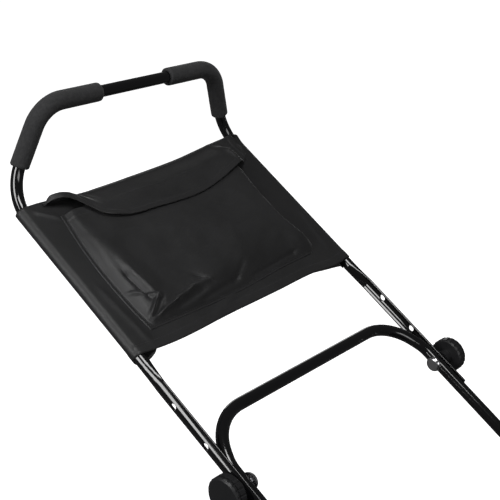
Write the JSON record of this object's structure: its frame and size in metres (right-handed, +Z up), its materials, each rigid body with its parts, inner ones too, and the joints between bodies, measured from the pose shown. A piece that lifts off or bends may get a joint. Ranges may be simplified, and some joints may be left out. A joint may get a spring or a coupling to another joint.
{
  "type": "shopping trolley on wheels",
  "caption": "Four-wheeled push shopping trolley: tubular chassis with open fabric hamper, folding two-part tube handle with foam grips and a fabric pocket with a flap.",
  "frame": {"origin": "middle of the trolley's footprint box, on the floor", "axes": "+Z up, -Y the way it is pushed, the user at +Y, +X across"},
  "size_m": [0.487, 1.1318, 0.9741],
  "materials": {
    "tube_black": "gloss black stove enamel on steel tube",
    "foam": "fine-celled matt foam",
    "fabric": "black coated polyester, plain weave",
    "hamper_fabric": "black coated polyester, plain weave",
    "moulded_black": "satin moulded nylon",
    "board": "ribbed hard plastic board",
    "zinc": "bright zinc plate",
    "wheel_rim": "satin moulded nylon",
    "tyre": "matt black rubber"
  },
  "bodies": {
    "chassis": {"rim_frame": "tube_black", "base_frame": "tube_black", "front_cross_tube": "tube_black", "rear_cross_tube": "tube_black", "front_left_post": "tube_black", "front_right_post": "tube_black", "rear_left_post": "tube_black", "rear_right_post": "tube_black", "floor_board": "board", "hamper": "hamper_fabric", "left_hinge_block": "moulded_black", "right_hinge_block": "moulded_black", "left_handle_stop": "moulded_black", "right_handle_stop": "moulded_black", "left_hinge_spacer": "moulded_black", "right_hinge_spacer": "moulded_black", "left_hinge_bolt": "zinc", "right_hinge_bolt": "zinc", "left_axle_block": "moulded_black", "right_axle_block": "moulded_black", "rear_axle": "zinc", "left_axle_cap": "moulded_black", "right_axle_cap": "moulded_black", "left_castor_socket": "moulded_black", "right_castor_socket": "moulded_black"},
    "handle": {"stem_bow": "tube_black", "left_stem_plug": "moulded_black", "right_stem_plug": "moulded_black", "handle_tube": "tube_black", "left_grip": "foam", "right_grip": "foam", "handle_panel": "fabric", "pocket": "fabric", "left_height_bolt": "zinc", "right_height_bolt": "zinc"},
    "flap": {"pocket_flap": "fabric"},
    "left_height_knob": {"left_height_knob": "moulded_black"},
    "left_hinge_knob": {"left_hinge_knob": "moulded_black"},
    "rear_left_wheel": {"rear_left_rim": "wheel_rim", "rear_left_tyre": "tyre"},
    "left_castor": {"left_castor_fork": "moulded_black", "left_castor_stem": "zinc", "left_castor_bolt": "zinc"},
    "front_left_wheel": {"front_left_rim": "wheel_rim", "front_left_tyre": "tyre"},
    "right_height_knob": {"right_height_knob": "moulded_black"},
    "right_hinge_knob": {"right_hinge_knob": "moulded_black"},
    "rear_right_wheel": {"rear_right_rim": "wheel_rim", "rear_right_tyre": "tyre"},
    "right_castor": {"right_castor_fork": "moulded_black", "right_castor_stem": "zinc", "right_castor_bolt": "zinc"},
    "front_right_wheel": {"front_right_rim": "wheel_rim", "front_right_tyre": "tyre"}
  },
  "joints": [
    {"name": "handle_fold", "type": "hinge", "parent": "chassis", "child": "handle", "pos_m": [0, -0.10494, 0.424], "axis": [1, 0, 0], "range_deg": [0, 140]},
    {"name": "flap_lift", "type": "hinge", "parent": "handle", "child": "flap", "pos_m": [0, 0.52242, 0.83876], "axis": [-1, 0, 0], "range_deg": [0, 110]},
    {"name": "left_height_knob_turn", "type": "hinge", "parent": "handle", "child": "left_height_knob", "pos_m": [-0.225, 0.16014, 0.59418], "axis": [1, 0, 0], "continuous": true},
    {"name": "left_hinge_knob_turn", "type": "hinge", "parent": "chassis", "child": "left_hinge_knob", "pos_m": [-0.222, -0.10494, 0.424], "axis": [1, 0, 0], "continuous": true},
    {"name": "rear_left_wheel_spin", "type": "hinge", "parent": "chassis", "child": "rear_left_wheel", "pos_m": [-0.212, 0.00206, 0.1], "axis": [1, 0, 0], "continuous": true},
    {"name": "left_castor_swivel", "type": "hinge", "parent": "chassis", "child": "left_castor", "pos_m": [-0.11, -0.54193, 0.15], "axis": [0, 0, 1], "continuous": true},
    {"name": "front_left_wheel_spin", "type": "hinge", "parent": "left_castor", "child": "front_left_wheel", "pos_m": [-0.11, -0.51593, 0.05], "axis": [1, 0, 0], "continuous": true},
    {"name": "right_height_knob_turn", "type": "hinge", "parent": "handle", "child": "right_height_knob", "pos_m": [0.225, 0.16014, 0.59418], "axis": [1, 0, 0], "continuous": true},
    {"name": "right_hinge_knob_turn", "type": "hinge", "parent": "chassis", "child": "right_hinge_knob", "pos_m": [0.222, -0.10494, 0.424], "axis": [1, 0, 0], "continuous": true},
    {"name": "rear_right_wheel_spin", "type": "hinge", "parent": "chassis", "child": "rear_right_wheel", "pos_m": [0.212, 0.00206, 0.1], "axis": [1, 0, 0], "continuous": true},
    {"name": "right_castor_swivel", "type": "hinge", "parent": "chassis", "child": "right_castor", "pos_m": [0.11, -0.54193, 0.15], "axis": [0, 0, 1], "continuous": true},
    {"name": "front_right_wheel_spin", "type": "hinge", "parent": "right_castor", "child": "front_right_wheel", "pos_m": [0.11, -0.51593, 0.05], "axis": [1, 0, 0], "continuous": true}
  ]
}
